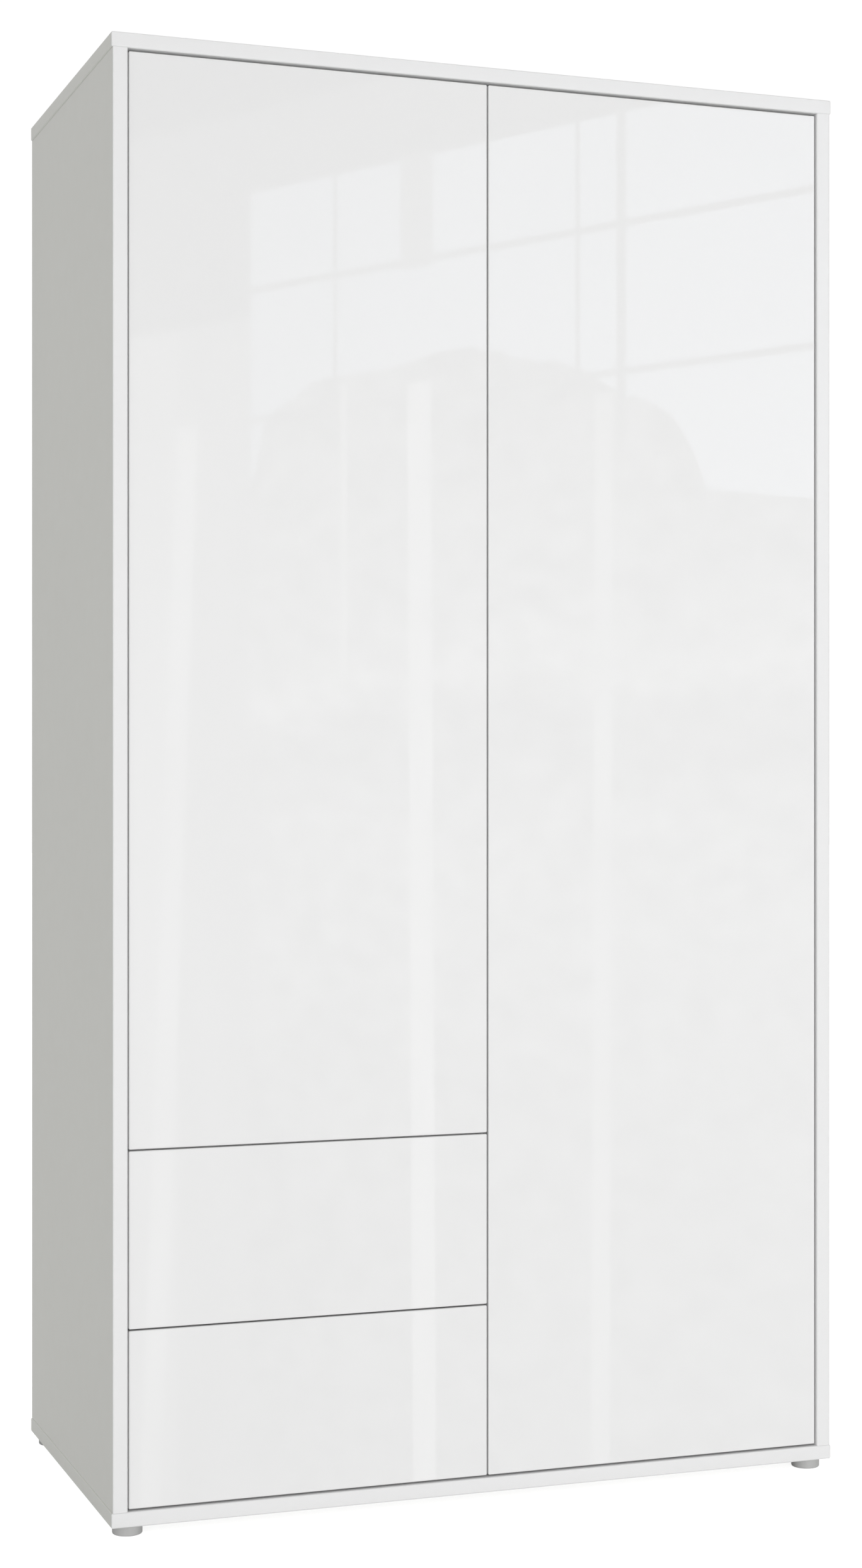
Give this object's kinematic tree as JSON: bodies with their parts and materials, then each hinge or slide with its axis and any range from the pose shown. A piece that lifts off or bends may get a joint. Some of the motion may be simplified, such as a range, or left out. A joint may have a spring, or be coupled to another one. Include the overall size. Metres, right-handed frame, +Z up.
{
  "type": "wardrobe",
  "caption": "Free-standing wardrobe with handleless high-gloss fronts: shelves behind a tall door over push-to-open drawers, hanging space behind a full-height door.",
  "frame": {"origin": "on the floor, under the middle of the carcass", "axes": "+X to the right seen from the front, +Y to the back, +Z up; the fronts face -Y"},
  "size_m": [1.0514, 0.545, 1.964],
  "materials": {
    "carcass": "matt white melamine board with matching edging",
    "fronts": "high-gloss white foil on fibreboard, rounded arrises",
    "drawer_boxes": "matt white foil on board",
    "backs_and_drawer_bottoms": "hardboard, white lacquered inside and bare brown behind",
    "feet": "grey moulded plastic",
    "hinges": "nickel-plated steel",
    "hinge_links": "zinc-plated steel",
    "runners": "zinc-plated steel",
    "clothes_rail": "chromed steel tube and flanges",
    "latch_housings": "pale grey moulded plastic",
    "latch_plungers": "grey moulded plastic"
  },
  "bodies": {
    "carcass": {"bottom_panel": "carcass", "centre_partition": "carcass", "clothes_rail": "clothes_rail", "drawer_compartment_shelf": "carcass", "front_left_foot": "feet", "front_right_foot": "feet", "hat_shelf": "carcass", "left_back_panel": "backs_and_drawer_bottoms", "left_door_bottom_hinge_arm": "hinges", "left_door_latch_housing": "latch_housings", "left_door_middle_hinge_arm": "hinges", "left_door_top_hinge_arm": "hinges", "left_side_panel": "carcass", "lower_drawer_left_cabinet_runner": "runners", "lower_drawer_right_cabinet_runner": "runners", "lower_left_shelf": "carcass", "middle_left_shelf": "carcass", "partition_rail_flange": "clothes_rail", "rear_left_foot": "feet", "rear_right_foot": "feet", "right_back_panel": "backs_and_drawer_bottoms", "right_door_bottom_hinge_arm": "hinges", "right_door_latch_housing": "latch_housings", "right_door_lower_middle_hinge_arm": "hinges", "right_door_top_hinge_arm": "hinges", "right_door_upper_middle_hinge_arm": "hinges", "right_side_panel": "carcass", "side_rail_flange": "clothes_rail", "top_panel": "carcass", "upper_drawer_left_cabinet_runner": "runners", "upper_drawer_right_cabinet_runner": "runners", "upper_left_shelf": "carcass"},
    "left_door": {"left_door": "fronts", "left_door_bottom_hinge_cup": "hinges", "left_door_middle_hinge_cup": "hinges", "left_door_top_hinge_cup": "hinges"},
    "left_hinge_links": {"left_door_bottom_hinge_link": "hinge_links", "left_door_middle_hinge_link": "hinge_links", "left_door_top_hinge_link": "hinge_links"},
    "right_door": {"right_door": "fronts", "right_door_bottom_hinge_cup": "hinges", "right_door_lower_middle_hinge_cup": "hinges", "right_door_top_hinge_cup": "hinges", "right_door_upper_middle_hinge_cup": "hinges"},
    "right_hinge_links": {"right_door_bottom_hinge_link": "hinge_links", "right_door_lower_middle_hinge_link": "hinge_links", "right_door_top_hinge_link": "hinge_links", "right_door_upper_middle_hinge_link": "hinge_links"},
    "upper_drawer": {"upper_drawer_bottom": "backs_and_drawer_bottoms", "upper_drawer_box": "drawer_boxes", "upper_drawer_front": "fronts", "upper_drawer_left_drawer_runner": "runners", "upper_drawer_right_drawer_runner": "runners"},
    "lower_drawer": {"lower_drawer_bottom": "backs_and_drawer_bottoms", "lower_drawer_box": "drawer_boxes", "lower_drawer_front": "fronts", "lower_drawer_left_drawer_runner": "runners", "lower_drawer_right_drawer_runner": "runners"},
    "left_latch_plunger": {"left_door_latch_plunger": "latch_plungers"},
    "right_latch_plunger": {"right_door_latch_plunger": "latch_plungers"}
  },
  "joints": [
    {"name": "left_door_hinge", "type": "hinge", "parent": "carcass", "child": "left_door", "pos_m": [-0.498, -0.2685, 1.2235], "axis": [0, 0, -1], "range_deg": [0, 105]},
    {"name": "left_hinge_link_pivot", "type": "hinge", "parent": "left_door", "child": "left_hinge_links", "pos_m": [-0.491, -0.2565, 1.2235], "axis": [0, 0, 1], "range_deg": [0, 105]},
    {"name": "right_door_hinge", "type": "hinge", "parent": "carcass", "child": "right_door", "pos_m": [0.498, -0.2685, 0.9885], "axis": [0, 0, 1], "range_deg": [0, 105]},
    {"name": "right_hinge_link_pivot", "type": "hinge", "parent": "right_door", "child": "right_hinge_links", "pos_m": [0.491, -0.2565, 0.9885], "axis": [0, 0, -1], "range_deg": [0, 105]},
    {"name": "upper_drawer_slide", "type": "slide", "parent": "carcass", "child": "upper_drawer", "axis": [0, -1, 0], "range_m": [0, 0.35]},
    {"name": "lower_drawer_slide", "type": "slide", "parent": "carcass", "child": "lower_drawer", "axis": [0, -1, 0], "range_m": [0, 0.35]},
    {"name": "left_latch_plunger_slide", "type": "slide", "parent": "carcass", "child": "left_latch_plunger", "axis": [0, -1, 0], "range_m": [0, 0.02]},
    {"name": "right_latch_plunger_slide", "type": "slide", "parent": "carcass", "child": "right_latch_plunger", "axis": [0, -1, 0], "range_m": [0, 0.02]}
  ],
  "couplings": [
    {"joint": "left_hinge_link_pivot", "follows": "left_door_hinge", "ratio": 1},
    {"joint": "right_hinge_link_pivot", "follows": "right_door_hinge", "ratio": 1},
    {"joint": "left_latch_plunger_slide", "follows": "left_door_hinge", "m_per_rad": 0.0109},
    {"joint": "right_latch_plunger_slide", "follows": "right_door_hinge", "m_per_rad": 0.0109}
  ]
}
